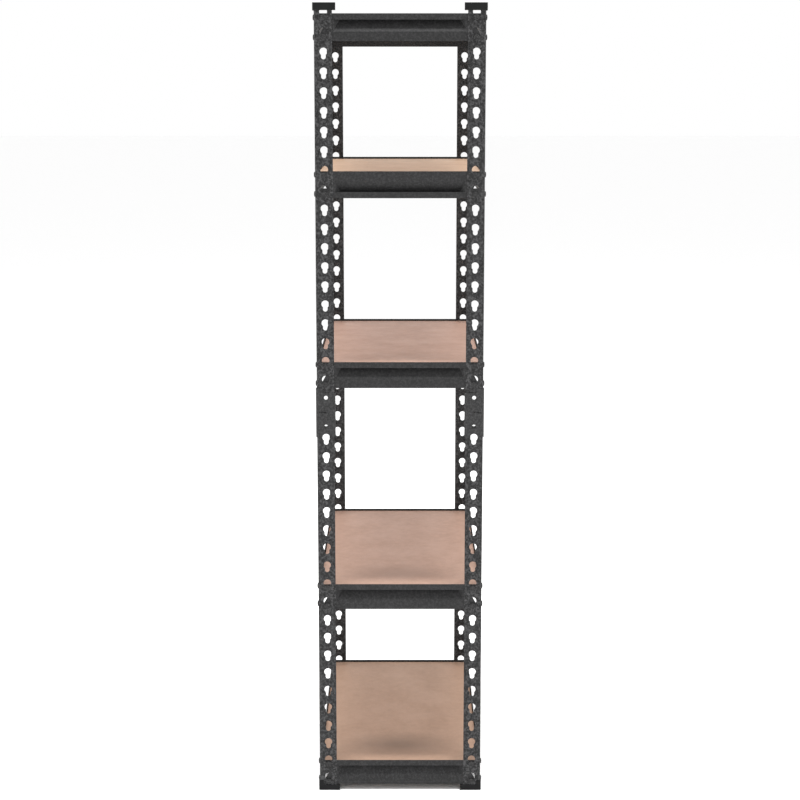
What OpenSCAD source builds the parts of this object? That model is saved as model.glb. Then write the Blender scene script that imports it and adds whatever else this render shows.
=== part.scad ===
// Boltless shelving: folded angle posts with keyholes, pressed step beams with
// shouldered rivets, and loose boards that lie inside the beams' lips.
// Origin: middle of the footprint, on the floor. X runs along the shelves,
// Y from the front (-) to the back (+), Z up. Millimetres.

/* [Overall] */
// Length over the outer faces of the posts
unit_l = 622; // [450:1:900]
// Depth over the outer faces of the posts
unit_d = 317; // [240:1:460]

/* [Levels] */
// Wanted height of the lowest level's beams, taken to the nearest keyholes
level_1_z = 61; // [60:1:200]
// Wanted height of the second level's beams
level_2_z = 421; // [250:1:560]
// Wanted height of the third level's beams
level_3_z = 858; // [700:1:960]
// Wanted height of the fourth level's beams
level_4_z = 1218; // [1050:1:1320]
// Wanted height of the top level's beams
level_5_z = 1506; // [1400:1:1510]

/* [Posts] */
// Length of one half of a post
half_l = 759.4; // [720:0.1:800]
// Width of each flange of the angle
flange_w = 33.5; // [30:0.1:45]
// Thickness of the post steel
post_t = 1.2; // [0.8:0.1:2]
// Outer radius of the folded corner
corner_r = 2.2; // [1.8:0.1:4]

/* [Keyholes] */
// Spacing of the keyholes up a post
pitch = 36; // [30:0.1:44]
// Distance from the post's outer face to the middle of a keyhole
key_x = 17.4; // [14:0.1:20]
// Diameter of the round upper part
key_head_d = 14.4; // [12.5:0.1:17.5]
// Width of the lower slot
key_tail_w = 8.8; // [7:0.1:10.6]
// Height of a keyhole from top to bottom
key_h = 21.2; // [18:0.1:25.5]
// Distance from the end of a post half to its first keyhole
key_margin = 6.9; // [5:0.1:10]

/* [Beams] */
// Thickness of the beam steel
beam_t = 1.2; // [0.8:0.1:2]
// Distance from a beam's edge to the middle of the nearer rivet
rivet_edge = 7; // [6:0.1:9]
// Height of the upright lip that holds the board in
lip_h = 11.3; // [9:0.1:15]
// Height of the flat lower band
band_h = 17; // [13:0.1:20.5]
// Depth of the ledge that the board rests on
ledge_w = 12; // [8:0.1:16]

/* [Rivets] */
// Play of a rivet's shoulder in the slot, on each side
rivet_play = 0.3; // [0.2:0.05:0.6]
// Overlap of a rivet's head on the steel beside the slot
rivet_lap = 0.8; // [0.6:0.05:1]
// Height of a rivet's head
rivet_head_h = 2.6; // [2:0.1:4]
// Height of the dome on top of a rivet's head
dome_h = 0.8; // [0.4:0.1:1.5]
// Diameter of a rivet's shank where it is set into the beam
shank_d = 6; // [5:0.1:6.6]

/* [Boards] */
// Thickness of a board
board_t = 6; // [4:0.1:9]
// Gap between a board's edge and the beam around it
board_gap = 1; // [0.8:0.1:3]

/* [Couplers, caps and feet] */
// Thickness of a coupler's steel
coupler_t = 1.6; // [1.2:0.1:2]
// Length of a coupler above the joint
coupler_up = 45; // [30:0.1:45.2]
// Length of a coupler below the joint
coupler_down = 49; // [30:0.1:60]
// Diameter of the round holes in a coupler
coupler_hole_d = 7.4; // [5:0.1:8.4]
// Thickness of a cap's outer wall
cap_wall = 2.5; // [1.5:0.1:3.5]
// Height of a cap's skirt below the post's end
cap_skirt = 11.4; // [8:0.1:14]
// Thickness of a cap's roof
cap_roof = 2.5; // [1.5:0.1:4]
// Thickness of a foot's outer wall
foot_wall = 1.4; // [1:0.1:2.5]
// Thickness of a foot's floor
foot_floor = 3; // [2:0.1:5]
// Length of a cap or a foot past the flange's edge
end_block = 6.2; // [3:0.1:9]

/* [Hidden] */
$fn = 48;
CORNERS = ["front_left", "front_right", "back_left", "back_right"];
LEVELS = [1, 2, 3, 4, 5];

steel = [0.25, 0.25, 0.26];
plastic = [0.1, 0.1, 0.1];
particle_board = [0.72, 0.58, 0.48];

// clearances
fit = 0.2;            // between a post and what slides over it or lies against it
head_gap = 0.3;       // under a rivet's head
wrap_gap = 0.4;       // between a flange's edge and the coupler folded round it
stack_gap = 0.3;      // between a beam and the coupler or foot next to it
corner_gap = 1.4;     // between the ends of two beams that meet inside a post
lift_gap = 0.4;       // between a cap or foot and a board being lifted past it
past = 1;             // how far a cutter runs past a face

// posts: two halves stand on each other with the coupler's stop between them
stop_t = post_t;
seam_z = foot_floor + half_l;
post_top = seam_z + stop_t + half_l;
holes = floor((half_l - key_margin - key_h) / pitch) + 1;
function half_z(h) = foot_floor + h * (half_l + stop_t);
function key_top(h, i) = half_z(h) + half_l - key_margin - i * pitch;

// rivets: the shoulder rests on the bottom of the slot
neck_r = key_tail_w / 2 - rivet_play;
rivet_head_r = key_tail_w / 2 + rivet_lap;
upset_h = 0.6;
upset_lap = 1.2;
upset_r = shank_d / 2 + upset_lap;

// beams: tall enough for two rivets one keyhole spacing apart
beam_h = pitch + 2 * rivet_edge;
beam_in = post_t + fit;
beam_end = beam_in + beam_t + corner_gap;
past_flange = 1.5;
flat_end = flange_w + past_flange;
beam_drop = key_h - neck_r - rivet_edge;
long_l = unit_l - 2 * beam_end;
end_l = unit_d - 2 * beam_end;

// keyholes that a level can use: clear of the coupler, the foot and the post's ends
coupler_top = seam_z + coupler_up;
coupler_bottom = seam_z - coupler_down;
function hole_for(h, z) = round((key_top(h, 0) - beam_drop - z) / pitch);
upper_last = floor((key_top(1, 0) - beam_drop - beam_h - coupler_top - stack_gap) / pitch);
lower_first = max(0, ceil((key_top(0, 0) - beam_drop - coupler_bottom + stack_gap) / pitch));
function level_half(z) = z - beam_h / 2 > seam_z ? 1 : 0;
function level_hole(z) = level_half(z) == 1
    ? min(upper_last, max(0, hole_for(1, z)))
    : min(holes - 2, max(lower_first, hole_for(0, z)));
wanted = [level_1_z, level_2_z, level_3_z, level_4_z, level_5_z];
function level_key_top(k) = key_top(level_half(wanted[k - 1]), level_hole(wanted[k - 1]));
function beam_top(k) = level_key_top(k) - beam_drop;
function beam_z(k) = beam_top(k) - beam_h;
function board_z(k) = beam_top(k) - lip_h + beam_t;

// the fourth level's right end beam is fitted with its lip down
turned_level = 4;

// boards: clear of the beams' lips, and of the couplers' folded edges when lifted
board_inset = beam_in + max(beam_t, coupler_t) + board_gap;

// feet: low enough for the lowest beams, with a raised corner outside the rivets
foot_full_h = 11;
foot_rise = 9;
foot_to_head = 3;
lowest = min([for (k = LEVELS) beam_z(k)]);
foot_h = min(foot_full_h, lowest - stack_gap);
foot_corner_h = foot_h + foot_rise;
foot_corner_w = key_x - rivet_head_r - foot_to_head;

// caps and feet: the wall inside the angle stays clear of a board being lifted out
shoe_inner = board_inset - beam_in - lift_gap;

module flip(on, axis) {
    if (on) mirror(axis) children();
    else children();
}

// a corner of the unit: flanges run along +X and +Y from the post's outer corner
module at_corner(name) {
    right = name == "front_right" || name == "back_right";
    back = name == "back_left" || name == "back_right";
    flip(right, [1, 0, 0]) flip(back, [0, 1, 0])
        translate([-unit_l / 2, -unit_d / 2, 0]) children();
}

// a side of the unit: X along the side from its middle, Y inwards from the outer face
module at_side(name) {
    if (name == "front") translate([0, -unit_d / 2, 0]) children();
    if (name == "back") mirror([0, 1, 0]) translate([0, -unit_d / 2, 0]) children();
    if (name == "left") translate([-unit_l / 2, 0, 0]) mirror([1, -1, 0]) children();
    if (name == "right")
        mirror([1, 0, 0]) translate([-unit_l / 2, 0, 0]) mirror([1, -1, 0]) children();
}

// on both flanges of an angle: the second is the first with X and Y swapped
module both_flanges() {
    children();
    mirror([1, -1, 0]) children();
}

// an angle with its outer faces at -out, legs w long and t thick, and a round corner
module angle_2d(out, w, t, r) {
    difference() {
        union() {
            translate([-out, -out]) square([w + out, t]);
            translate([-out, -out]) square([t, w + out]);
            translate([t - out, t - out]) difference() {
                square(max(r - t, 0.4));
                translate([max(r - t, 0.4), max(r - t, 0.4)]) circle(max(r - t, 0.4));
            }
        }
        translate([-out, -out]) difference() {
            square(r);
            translate([r, r]) circle(r);
        }
    }
}

// one keyhole, its top at the origin, hanging down: a round head over a slot with a
// round bottom
module keyhole_2d() {
    head_r = key_head_d / 2;
    tail_r = key_tail_w / 2;
    translate([0, -head_r]) circle(head_r);
    translate([0, -key_h + tail_r]) circle(tail_r);
    translate([-tail_r, -key_h + tail_r]) square([key_tail_w, key_h - tail_r - head_r]);
}

// a cutter through what lies along X, from outside a coupler to that depth, with its
// outline drawn in X and Z
module through_flange(depth) {
    outside = fit + coupler_t + past;
    rotate([90, 0, 0]) translate([0, 0, -depth]) linear_extrude(depth + outside) children();
}

module upright(corner, h) {
    color(steel) at_corner(corner) translate([0, 0, half_z(h)]) difference() {
        linear_extrude(half_l) angle_2d(0, flange_w, post_t, corner_r);
        both_flanges() through_flange(post_t + past)
            for (i = [0 : holes - 1])
                translate([key_x, half_l - key_margin - i * pitch]) keyhole_2d();
    }
}

// the notch in the top of a coupler's face, its top edge at the origin's height
module notch_2d() {
    notch_x = 11;
    notch_w = flange_w;
    notch_down = 8.5;
    notch_r = 4;
    translate([notch_x + notch_r, -notch_down]) square([notch_w, notch_down + past]);
    translate([notch_x, notch_r - notch_down])
        square([notch_w, notch_down - notch_r + past]);
    translate([notch_x + notch_r, notch_r - notch_down]) circle(notch_r);
}

// a sleeve of folded steel: it wraps round the edges of both flanges, is cut round the
// head of the keyhole at its lower end, and a tongue pressed in from each face stands
// between the two halves of the post
module coupler(corner) {
    out = fit + coupler_t;
    edge = flange_w + wrap_gap;
    lip_in = post_t + fit;
    lip_w = 6;
    tongue_w = 14;
    tongue_shift = 6;
    tongue_reach = 2;
    slot_h = 2.4;
    tongue_x = key_x - tongue_w / 2 - tongue_shift;
    hole_drop = 6.2;
    hole_past = 0.3;
    head_clear = 0.4;
    head_r = key_head_d / 2;
    upper_hole = key_top(1, holes - 1) - hole_drop;
    lower_hole = key_top(0, 0) - key_h - hole_past;
    color(steel) at_corner(corner) {
        difference() {
            translate([0, 0, coupler_bottom]) linear_extrude(coupler_up + coupler_down) union() {
                angle_2d(out, edge, coupler_t, corner_r + out);
                both_flanges() {
                    translate([edge, -out]) square([coupler_t, out + lip_in + coupler_t]);
                    translate([edge - lip_w, lip_in]) square([lip_w + coupler_t, coupler_t]);
                }
            }
            both_flanges() through_flange(lip_in + coupler_t + past) {
                translate([0, coupler_top]) notch_2d();
                translate([key_x, upper_hole]) circle(coupler_hole_d / 2);
                translate([key_x, lower_hole]) circle(coupler_hole_d / 2);
                translate([key_x, key_top(0, 1) - head_r]) circle(head_r + head_clear);
                translate([tongue_x, seam_z - slot_h]) square([tongue_w, slot_h]);
            }
        }
        both_flanges() translate([tongue_x, -fit - coupler_t / 2, seam_z])
            cube([tongue_w, fit + coupler_t / 2 + post_t + tongue_reach, stop_t]);
    }
}

// the outline of a cap or foot, and the slot that the angle stands in
module shoe_2d(wall) {
    out = fit + wall;
    angle_2d(out, flange_w + end_block, out + post_t + fit + shoe_inner, out + 1);
}

module shoe_slot_2d() {
    translate([-fit, -fit]) square([flange_w + 2 * fit, post_t + 2 * fit]);
    translate([-fit, -fit]) square([post_t + 2 * fit, flange_w + 2 * fit]);
    translate([post_t, post_t]) square(max(corner_r - post_t, 0.4) + fit);
}

module cap(corner) {
    color(plastic) at_corner(corner) translate([0, 0, post_top - cap_skirt]) difference() {
        linear_extrude(cap_skirt + cap_roof) shoe_2d(cap_wall);
        translate([0, 0, -past]) linear_extrude(cap_skirt + past) shoe_slot_2d();
    }
}

module foot(corner) {
    color(plastic) at_corner(corner) difference() {
        union() {
            linear_extrude(foot_h) shoe_2d(foot_wall);
            intersection() {
                linear_extrude(foot_corner_h) shoe_2d(foot_wall);
                translate([-fit - foot_wall, -fit - foot_wall, 0])
                    cube([foot_corner_w, foot_corner_w, foot_corner_h]);
            }
        }
        translate([0, 0, foot_floor]) linear_extrude(foot_corner_h) shoe_slot_2d();
        translate([-fit, -fit, foot_h]) cube([foot_corner_w, foot_corner_w, foot_corner_h]);
    }
}

// the hollow of a beam below its ledge, grown by g: a triangle in section, closed
// at both ends by a face at 45 degrees
module step(len, g) {
    top = beam_h - lip_h;
    rise = top - band_h;
    slope = sqrt(rise * rise + ledge_w * ledge_w);
    out_y = g * rise / slope;
    out_z = -g * ledge_w / slope;
    tip_y = out_y + ledge_w * (rise + g - out_z) / rise;
    low_z = band_h + out_z - rise * out_y / ledge_w;
    half = len / 2 - flat_end + beam_end + g * sqrt(2);
    front = g > 0 ? 0 : -past;
    far = tip_y + past;
    intersection() {
        rotate([90, 0, 90]) translate([0, 0, -len / 2]) linear_extrude(len)
            polygon([[0, low_z], [tip_y, top + g], [front, top + g], [front, low_z]]);
        linear_extrude(beam_h) polygon([
            [-half - past, -past], [half + past, -past], [half - far, far], [-half + far, far]
        ]);
    }
}

// a beam: lip, ledge, slanting web and flat band pressed from one strip, with flat
// ends for the rivets and a notch in each end between the two rivets
module step_beam(len) {
    rivet_x = key_x - beam_end;
    notch_h = 19.6;
    notch_clear = 1;
    notch_low = rivet_edge + neck_r + notch_clear;
    notch_high = notch_low + notch_h;
    notch_near = rivet_x / 2;
    notch_far = rivet_x + neck_r;
    difference() {
        union() {
            translate([-len / 2, 0, 0]) cube([len, beam_t, beam_h]);
            step(len, beam_t);
        }
        step(len, 0);
        for (s = [0, 1]) mirror([s, 0, 0]) translate([-len / 2, 0, 0]) {
            through_flange(beam_t + past) polygon([
                [-past, notch_low], [notch_near, notch_low],
                [notch_far, notch_high], [-past, notch_high]
            ]);
            for (z = [rivet_edge, beam_h - rivet_edge]) translate([rivet_x, 0, z])
                rotate([90, 0, 0]) translate([0, 0, -beam_t - past])
                    cylinder(h = beam_t + 2 * past, r = shank_d / 2);
        }
    }
}

module beam(side, k) {
    len = side == "front" || side == "back" ? long_l : end_l;
    turned = side == "right" && k == turned_level;
    color(steel) at_side(side) translate([0, beam_in, beam_z(k)])
        translate([0, 0, turned ? beam_h : 0]) flip(turned, [0, 0, 1]) step_beam(len);
}

// a rivet along Y with its shoulder's seat on the beam at the origin: shoulder,
// domed head outside the post, shank through the beam and the end upset inside
module rivet() {
    reach = beam_in + head_gap;
    dome_r = (rivet_head_r * rivet_head_r + dome_h * dome_h) / (2 * dome_h);
    rotate([90, 0, 0]) union() {
        translate([0, 0, -beam_t]) cylinder(h = beam_t, r = shank_d / 2);
        translate([0, 0, -beam_t - upset_h]) cylinder(h = upset_h, r = upset_r);
        cylinder(h = reach, r = neck_r);
        translate([0, 0, reach]) intersection() {
            cylinder(h = rivet_head_h, r = rivet_head_r);
            translate([0, 0, rivet_head_h - dome_r]) sphere(dome_r);
        }
    }
}

module rivets(k) {
    color(steel) for (side = ["front", "back", "left", "right"]) {
        span = side == "front" || side == "back" ? unit_l : unit_d;
        at_side(side) for (s = [-1, 1], z = [rivet_edge, beam_h - rivet_edge])
            translate([s * (span / 2 - key_x), beam_in, beam_z(k) + z]) rivet();
    }
}

module board(k) {
    color(particle_board)
        translate([-unit_l / 2 + board_inset, -unit_d / 2 + board_inset, board_z(k)])
            cube([unit_l - 2 * board_inset, unit_d - 2 * board_inset, board_t]);
}

for (c = CORNERS) {
    upright(c, 0);
    upright(c, 1);
    coupler(c);
    cap(c);
    foot(c);
}
for (k = LEVELS) {
    beam("front", k);
    beam("back", k);
    beam("left", k);
    beam("right", k);
    rivets(k);
    board(k);
}
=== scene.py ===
import math
import random

import bmesh
import bpy
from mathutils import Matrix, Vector


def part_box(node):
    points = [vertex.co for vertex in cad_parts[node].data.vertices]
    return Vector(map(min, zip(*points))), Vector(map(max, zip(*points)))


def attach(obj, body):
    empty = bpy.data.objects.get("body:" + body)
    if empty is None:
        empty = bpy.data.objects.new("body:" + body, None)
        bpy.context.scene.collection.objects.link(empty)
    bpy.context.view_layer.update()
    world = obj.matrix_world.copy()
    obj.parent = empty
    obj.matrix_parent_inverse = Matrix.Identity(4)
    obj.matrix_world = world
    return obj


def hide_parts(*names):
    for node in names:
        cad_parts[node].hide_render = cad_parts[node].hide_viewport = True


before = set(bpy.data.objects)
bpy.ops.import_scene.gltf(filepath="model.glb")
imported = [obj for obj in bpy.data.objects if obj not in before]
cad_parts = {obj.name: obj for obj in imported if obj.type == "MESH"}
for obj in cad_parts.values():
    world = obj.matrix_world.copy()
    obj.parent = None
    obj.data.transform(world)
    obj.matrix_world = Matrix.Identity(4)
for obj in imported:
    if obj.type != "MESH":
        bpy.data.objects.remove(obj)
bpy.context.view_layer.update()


# Posts. Each of the four is two lengths of 1.2 mm steel angle, roll-formed from strip,
# punched with keyholes every 36 mm on both flanges and powder coated in charcoal.
# The upper length stands over the lower one inside a sleeve.
corners = ("front_left", "front_right", "back_left", "back_right")
strip_edge = 0.00025


def new_material(name):
    material = bpy.data.materials.new(name)
    material.use_nodes = True
    nodes = material.node_tree.nodes
    return material, nodes, material.node_tree.links.new, nodes["Principled BSDF"]


def noise_at(nodes, link, place, scale, detail, roughness=0.5, stretch=None):
    """A noise texture over the piece's own coordinates, in features per metre."""
    noise = nodes.new("ShaderNodeTexNoise")
    noise.inputs["Scale"].default_value = scale
    noise.inputs["Detail"].default_value = detail
    noise.inputs["Roughness"].default_value = roughness
    if stretch:
        mapping = nodes.new("ShaderNodeMapping")
        mapping.inputs["Scale"].default_value = stretch
        link(place, mapping.inputs["Vector"])
        place = mapping.outputs["Vector"]
    link(place, noise.inputs["Vector"])
    return noise.outputs["Fac"]


def remap(nodes, link, value, low, high, to_low=0.0, to_high=1.0):
    """Value taken from low..high to to_low..to_high, and held there beyond."""
    ramp = nodes.new("ShaderNodeMapRange")
    ramp.inputs["From Min"].default_value = low
    ramp.inputs["From Max"].default_value = high
    ramp.inputs["To Min"].default_value = to_low
    ramp.inputs["To Max"].default_value = to_high
    link(value, ramp.inputs["Value"])
    return ramp.outputs["Result"]


def blend_colours(nodes, link, factor, first, second):
    """Two colours, each a tuple or an output, mixed by a factor output."""
    mix = nodes.new("ShaderNodeMix")
    mix.data_type = "RGBA"
    link(factor, mix.inputs["Factor"])
    for value, slot in ((first, mix.inputs["A"]), (second, mix.inputs["B"])):
        if isinstance(value, tuple):
            slot.default_value = (*value, 1.0)
        else:
            link(value, slot)
    return mix.outputs["Result"]


def lay_over(nodes, link, under, over, pattern, low, high, cover=1.0):
    """The over colour covers the under one where the pattern goes from low to high."""
    amount = remap(nodes, link, pattern, low, high, to_high=cover)
    return blend_colours(nodes, link, amount, under, over)


def times(colour, factor):
    return tuple(factor * channel for channel in colour)


def bump(nodes, link, height, strength, depth, below=None):
    """A bump of that depth in metres, laid over another bump's normal."""
    node = nodes.new("ShaderNodeBump")
    node.inputs["Strength"].default_value = strength
    node.inputs["Distance"].default_value = depth
    link(height, node.inputs["Height"])
    if below:
        link(below, node.inputs["Normal"])
    return node.outputs["Normal"]


def edge_mask(nodes, link, radius, breaks):
    """1 along sharp edges and 0 on faces, broken up by a noise."""
    same_facing, turned_away = 0.98, 0.8
    rounded = nodes.new("ShaderNodeBevel")
    rounded.samples = 4
    rounded.inputs["Radius"].default_value = radius
    geometry = nodes.new("ShaderNodeNewGeometry")
    facing = nodes.new("ShaderNodeVectorMath")
    facing.operation = "DOT_PRODUCT"
    link(rounded.outputs["Normal"], facing.inputs[0])
    link(geometry.outputs["Normal"], facing.inputs[1])
    edge = remap(nodes, link, facing.outputs["Value"], same_facing, turned_away)
    worn = nodes.new("ShaderNodeMath")
    worn.operation = "MULTIPLY"
    link(edge, worn.inputs[0])
    link(remap(nodes, link, breaks, low=0.42, high=0.62), worn.inputs[1])
    return worn.outputs["Value"]


def powder_coat(name, pale, dark, rub, mottle):
    """Charcoal powder coat with a fine hammered skin, a little paler where it is rubbed.
    The mottle is how strongly its paler and darker grains of 2 to 4 mm show."""
    material, nodes, link, shader = new_material(name)
    place = nodes.new("ShaderNodeTexCoord").outputs["Object"]
    clouds = noise_at(nodes, link, place, scale=38, detail=4)
    mottles = noise_at(nodes, link, place, scale=240, detail=2, roughness=0.7)
    grains = noise_at(nodes, link, place, scale=620, detail=2, roughness=0.6)
    flecks = noise_at(nodes, link, place, scale=1500, detail=1)
    pits = nodes.new("ShaderNodeTexVoronoi")
    pits.feature = "SMOOTH_F1"
    pits.inputs["Scale"].default_value = 430
    link(place, pits.inputs["Vector"])
    cloudy = lay_over(nodes, link, dark, pale, clouds, low=0.3, high=0.7)
    lighter = lay_over(nodes, link, cloudy, times(pale, 3.2), mottles,
                       low=0.5, high=0.62, cover=mottle)
    mottled = lay_over(nodes, link, lighter, times(dark, 0.15), mottles,
                       low=0.5, high=0.38, cover=mottle)
    speckled = lay_over(nodes, link, mottled, rub, grains, low=0.48, high=0.72, cover=0.55)
    pitted = lay_over(nodes, link, speckled, times(dark, 0.5), flecks,
                      low=0.56, high=0.7, cover=0.4)
    worn = edge_mask(nodes, link, radius=0.0009, breaks=clouds)
    link(blend_colours(nodes, link, worn, pitted, rub), shader.inputs["Base Color"])
    matt, satin = 0.62, 0.44
    link(remap(nodes, link, grains, 0.3, 0.7, matt, satin), shader.inputs["Roughness"])
    shader.inputs["Specular IOR Level"].default_value = 0.23
    skin = bump(nodes, link, pits.outputs["Distance"], strength=0.35, depth=0.00025)
    link(bump(nodes, link, grains, strength=0.3, depth=0.0002, below=skin),
         shader.inputs["Normal"])
    return material


def finish_node(node, material, edge, segments=2, sharpest=40):
    """Gives a steel or plastic piece its material, and rounds the edges that turn by more
    than the sharpest angle that is left alone, in degrees."""
    same_point = 1e-6
    flat_within = 0.6
    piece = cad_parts[node]
    piece.data.materials.clear()
    piece.data.materials.append(material)
    weld = piece.modifiers.new("weld", "WELD")
    weld.merge_threshold = same_point
    faces = piece.modifiers.new("flat faces", "DECIMATE")
    faces.decimate_type = "DISSOLVE"
    faces.angle_limit = math.radians(flat_within)
    rounding = piece.modifiers.new("edges", "BEVEL")
    rounding.width = edge
    rounding.segments = segments
    rounding.limit_method = "ANGLE"
    rounding.angle_limit = math.radians(sharpest)
    normals = piece.modifiers.new("normals", "WEIGHTED_NORMAL")
    normals.keep_sharp = False


post_coat = powder_coat("charcoal coat on posts", pale=(0.019, 0.0188, 0.0192),
                        dark=(0.01, 0.01, 0.0102), rub=(0.052, 0.051, 0.052), mottle=0.9)
for corner in corners:
    for half in ("lower", "upper"):
        finish_node(f"upright_{corner}_{half}", post_coat, strip_edge)


# Couplers. Each is a sleeve of 1.6 mm sheet folded round both edges of the angle, with two
# tongues lanced out of it that stand between the post's halves. It is pushed on by hand,
# and its folds carry the same charcoal coat, rubbed a little at the corner.
sleeve_edge = 0.0005
sleeve_coat = powder_coat("charcoal coat on couplers", pale=(0.022, 0.0218, 0.0222),
                          dark=(0.013, 0.013, 0.0133), rub=(0.07, 0.069, 0.07), mottle=0.4)
for corner in corners:
    finish_node(f"coupler_{corner}", sleeve_coat, sleeve_edge)


# Caps and feet. Both are one-piece mouldings in black plastic with a slot for the angle,
# pushed on the ends of the posts. The tool's spark finish leaves a fine even grain.
cap_edge = 0.0008
foot_edge = 0.0005


def moulded_plastic(name, tone, scuffed):
    material, nodes, link, shader = new_material(name)
    place = nodes.new("ShaderNodeTexCoord").outputs["Object"]
    grain = noise_at(nodes, link, place, scale=2200, detail=2)
    flow = noise_at(nodes, link, place, scale=55, detail=3)
    tinted = lay_over(nodes, link, tone, times(tone, 1.5), flow, low=0.35, high=0.7)
    scuffs = edge_mask(nodes, link, radius=0.0012, breaks=flow)
    link(blend_colours(nodes, link, scuffs, tinted, scuffed), shader.inputs["Base Color"])
    matt, smooth = 0.52, 0.4
    link(remap(nodes, link, flow, 0.3, 0.7, matt, smooth), shader.inputs["Roughness"])
    shader.inputs["Specular IOR Level"].default_value = 0.12
    link(bump(nodes, link, grain, strength=0.25, depth=0.0001), shader.inputs["Normal"])
    return material


black_plastic = moulded_plastic("black moulded plastic", tone=(0.005, 0.005, 0.0052),
                                scuffed=(0.03, 0.03, 0.03))
for corner in corners:
    finish_node(f"cap_{corner}", black_plastic, cap_edge, segments=3)
    finish_node(f"foot_{corner}", black_plastic, foot_edge, segments=3)


# Beams. Four to a level, each pressed from one steel strip: an upright lip, a ledge for
# the board, a slanting web and a flat band, with flat ends for the rivets. The folds have
# a small radius, and the coat is the posts' charcoal.
levels = (1, 2, 3, 4, 5)
fold_edge = 0.0006
shallowest_fold = 22
beam_coat = powder_coat("charcoal coat on beams", pale=(0.016, 0.0158, 0.0162),
                        dark=(0.011, 0.011, 0.0112), rub=(0.038, 0.037, 0.038), mottle=0.3)
for level in levels:
    for side in ("long_beam_front", "long_beam_back", "end_beam_left", "end_beam_right"):
        finish_node(f"{side}_{level}", beam_coat, fold_edge, sharpest=shallowest_fold)


# Rivets. Two at each end of a beam, cold headed in steel: a wide low dome outside, a
# shoulder that hooks into the keyhole's slot, and a shank upset inside the beam.
# The coat lies thin on the domes and is rubbed where they slid down the slots.
rivet_edge = 0.0004
rivet_coat = powder_coat("charcoal coat on rivets", pale=(0.017, 0.017, 0.0172),
                         dark=(0.01, 0.01, 0.0102), rub=(0.08, 0.078, 0.078), mottle=0.3)
for level in levels:
    finish_node(f"rivets_{level}", rivet_coat, rivet_edge)


# Boards. Each is a loose sheet of 6 mm pressed wood fibre, sawn square and laid inside the
# beams' lips on their ledges. The faces are smooth and warm brown with short fibres in
# them, and the sawn edges are slightly furred and painted paler as a painted highlight.
# Painted shade and light: each level's brown is one board colour, painted darker on the lower
# boards and palest on the second from the top.
board_browns_with_painted_shade = {1: (0.337, 0.217, 0.152), 2: (0.371, 0.236, 0.178), 3: (0.383, 0.242, 0.187),
                4: (0.515, 0.35, 0.238), 5: (0.42, 0.28, 0.197)}
# How strongly each board's painted shade oval shows, strongest on the lowest board.
board_painted_shade = {1: 1.0, 2: 0.55, 3: 0.25, 4: 0.15, 5: 0.15}


# The oval of painted shade near the right end of each board.
def painted_shade_oval(nodes, link, place, middle, reach):
    """1 in the middle of a soft oval in X and Y, falling to 0 at its reach."""
    oval = nodes.new("ShaderNodeMapping")
    oval.inputs["Location"].default_value = (-middle[0] / reach[0], -middle[1] / reach[1], 0)
    oval.inputs["Scale"].default_value = (1 / reach[0], 1 / reach[1], 0)
    link(place, oval.inputs["Vector"])
    fade = nodes.new("ShaderNodeTexGradient")
    fade.gradient_type = "SPHERICAL"
    link(oval.outputs["Vector"], fade.inputs["Vector"])
    return fade.outputs["Fac"]


def fibre_board(name, base, shade_strength, seed):
    """Pressed fibre, with painted shade: a soft darker oval near the right end stands in for
    shadow.
    The seed moves the pattern along, so that no two boards have the same clouds."""
    material, nodes, link, shader = new_material(name)
    place = nodes.new("ShaderNodeTexCoord").outputs["Object"]
    # Painted shade: a soft darker oval near the right end, standing in for shadow.
    shade_oval = painted_shade_oval(nodes, link, place, middle=(0.215, 0.0), reach=(0.075, 0.13))
    offset = nodes.new("ShaderNodeVectorMath")
    offset.operation = "ADD"
    offset.inputs[1].default_value = (seed * 1.7, seed * 3.1, 0)
    link(place, offset.inputs[0])
    place = offset.outputs["Vector"]
    darker = times(base, 0.86)
    paler = times(base, 1.12)
    clouds = noise_at(nodes, link, place, scale=14, detail=5, roughness=0.6)
    blotches = noise_at(nodes, link, place, scale=70, detail=4)
    along = noise_at(nodes, link, place, scale=420, detail=2, stretch=(1, 0.25, 1))
    across = noise_at(nodes, link, place, scale=420, detail=2, stretch=(0.25, 1, 1))
    specks = noise_at(nodes, link, place, scale=900, detail=1)
    cloudy = lay_over(nodes, link, darker, base, clouds, low=0.32, high=0.68)
    mottled = lay_over(nodes, link, cloudy, paler, blotches, low=0.35, high=0.7, cover=0.5)
    fibres = lay_over(nodes, link, mottled, paler, along, low=0.56, high=0.72, cover=0.6)
    crossed = lay_over(nodes, link, fibres, darker, across, low=0.58, high=0.74, cover=0.55)
    flecked = lay_over(nodes, link, crossed, times(base, 0.45), specks,
                       low=0.66, high=0.76, cover=0.6)
    # The painted shade is laid over the fibre colour here.
    shaded_colour = lay_over(nodes, link, flecked, times(base, 0.56), shade_oval,
                      low=0.0, high=0.85, cover=shade_strength)
    # Painted highlight: the eased edges are painted paler where they would catch the light.
    edges = edge_mask(nodes, link, radius=0.0012, breaks=blotches)
    link(blend_colours(nodes, link, edges, shaded_colour, paler), shader.inputs["Base Color"])
    matt, smooth = 0.62, 0.5
    link(remap(nodes, link, clouds, 0.3, 0.7, matt, smooth), shader.inputs["Roughness"])
    shader.inputs["Specular IOR Level"].default_value = 0.3
    felt = bump(nodes, link, along, strength=0.25, depth=0.00015)
    link(bump(nodes, link, across, strength=0.25, depth=0.00015, below=felt),
         shader.inputs["Normal"])
    return material


def new_object(name, data):
    placed = bpy.data.objects.new(name, data)
    bpy.context.scene.collection.objects.link(placed)
    return placed


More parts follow.
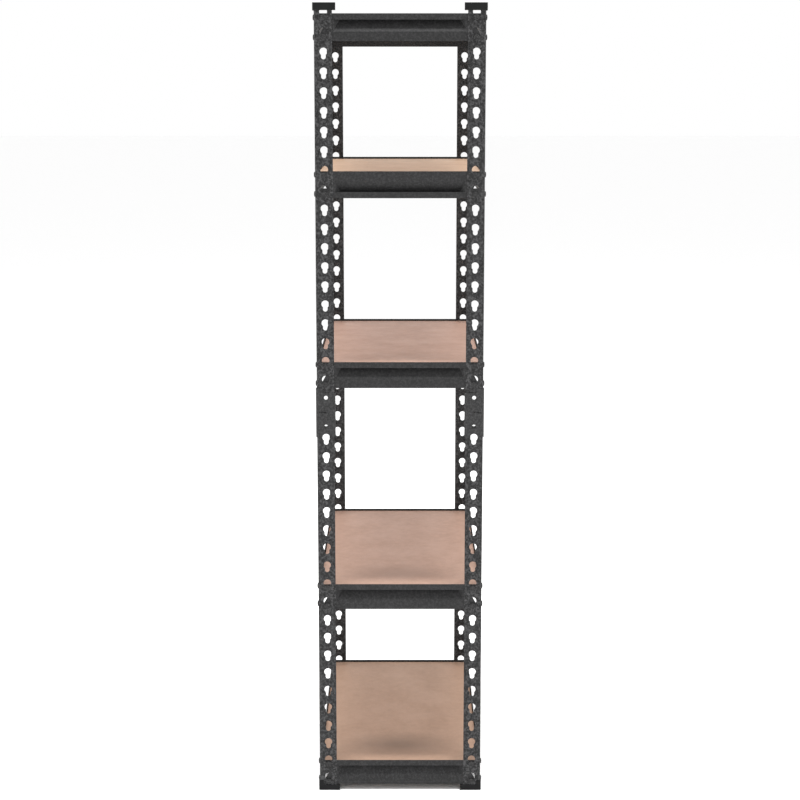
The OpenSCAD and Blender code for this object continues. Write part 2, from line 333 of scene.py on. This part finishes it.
def sawn_board(name, lo, hi, seed):
    """A sheet with eased edges, and sawn sides that wander by a hair."""
    wander = random.Random(seed)
    step = 0.008
    ease = 0.0006
    shoulder = 0.3 * ease
    waver = 0.0001
    outline = []
    for (x0, y0), (x1, y1) in (((lo.x, lo.y), (hi.x, lo.y)), ((hi.x, lo.y), (hi.x, hi.y)),
                               ((hi.x, hi.y), (lo.x, hi.y)), ((lo.x, hi.y), (lo.x, lo.y))):
        count = round(math.dist((x0, y0), (x1, y1)) / step)
        outline += [(x0 + (x1 - x0) * i / count, y0 + (y1 - y0) * i / count)
                    for i in range(count)]
    middle = (lo + hi) / 2
    half = (hi - lo) / 2
    profile = ((ease, lo.z), (shoulder, lo.z + shoulder), (0, lo.z + ease),
               (0, hi.z - ease), (shoulder, hi.z - shoulder), (ease, hi.z))
    mesh = bmesh.new()
    rings = []
    for inset, z in profile:
        ring = []
        for x, y in outline:
            inwards = inset + wander.uniform(0, waver)
            ring.append(mesh.verts.new((
                middle.x + (x - middle.x) * (1 - inwards / half.x),
                middle.y + (y - middle.y) * (1 - inwards / half.y), z)))
        rings.append(ring)
    for below, above in zip(rings, rings[1:]):
        for i in range(len(outline)):
            j = (i + 1) % len(outline)
            mesh.faces.new((below[i], below[j], above[j], above[i])).smooth = True
    mesh.faces.new(rings[-1])
    mesh.faces.new(tuple(reversed(rings[0])))
    data = bpy.data.meshes.new(name)
    mesh.to_mesh(data)
    mesh.free()
    return new_object(name, data)


for level in levels:
    lo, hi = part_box(f"board_{level}")
    sheet = sawn_board(f"fibre_board_{level}", lo, hi, seed=level)
    sheet.data.materials.append(fibre_board(f"fibre board {level}", board_browns_with_painted_shade[level],
                                            board_painted_shade[level], level))
    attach(sheet, f"board_{level}")
    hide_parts(f"board_{level}")


# Studio. A wide plain pale floor lies under an even white surround. A narrow light hangs high
# over the unit's right end and a weak one stands off that end, and a broad and a narrow soft
# one stand before the unit and behind it.
floor_reach = 40.0
floor_squares = 8
floor_white = (0.98, 0.98, 0.98, 1)
floor_mesh = bmesh.new()
bmesh.ops.create_grid(floor_mesh, x_segments=floor_squares, y_segments=floor_squares,
                      size=floor_reach)
floor_data = bpy.data.meshes.new("studio floor")
floor_mesh.to_mesh(floor_data)
floor_mesh.free()
floor = new_object("studio_floor", floor_data)
floor_material, _, _, floor_shader = new_material("pale floor")
floor_shader.inputs["Base Color"].default_value = floor_white
floor_shader.inputs["Roughness"].default_value = 0.9
floor_shader.inputs["Specular IOR Level"].default_value = 0.1
floor_data.materials.append(floor_material)

world = bpy.data.worlds.new("pale surround")
world.use_nodes = True
world.node_tree.nodes["Background"].inputs["Color"].default_value = (1, 1, 1, 1)
world.node_tree.nodes["Background"].inputs["Strength"].default_value = 1.0
bpy.context.scene.world = world


def softbox(name, place, target, size, power):
    """A rectangular light of that size in metres and power in watts, turned to its target."""
    light = bpy.data.lights.new(name, "AREA")
    light.shape = "RECTANGLE"
    light.size, light.size_y = size
    light.energy = power
    lamp = new_object(name, light)
    lamp.location = place
    lamp.rotation_euler = (Vector(target) - Vector(place)).to_track_quat("-Z", "Y").to_euler()


before_and_behind = (("front", -1), ("back", 1))
softbox("overhead", place=(0.75, 0, 4.2), target=(0.3, 0, 0.9), size=(2.4, 0.35), power=110)
softbox("right end", place=(4.2, 0, 0.8), target=(0, 0, 0.75), size=(3.0, 1.4), power=26)
for side, way in before_and_behind:
    softbox(f"{side} broad", place=(0, way * 3.4, 2.6), target=(0, 0, 0.8),
            size=(2.4, 2.0), power=62)
for side, way in before_and_behind:
    softbox(f"{side} narrow", place=(0.6, way * 3.0, 0.85), target=(0.3, 0, 0.8),
            size=(0.4, 2.2), power=24)


# Camera. It stands 3.35 m off the right end of the unit at chest height, tipped down
# enough to take in the whole height.
camera_place = (3.665, 0.0, 1.39)
tipped_down = 10.22
facing_left_end = 90
lens_length = 80.5
camera_data = bpy.data.cameras.new("camera")
camera_data.lens = lens_length
camera = new_object("camera", camera_data)
camera.location = camera_place
camera.rotation_euler = (math.radians(90 - tipped_down), 0.0, math.radians(facing_left_end))
bpy.context.scene.camera = camera
bpy.context.scene.view_settings.view_transform = "Standard"
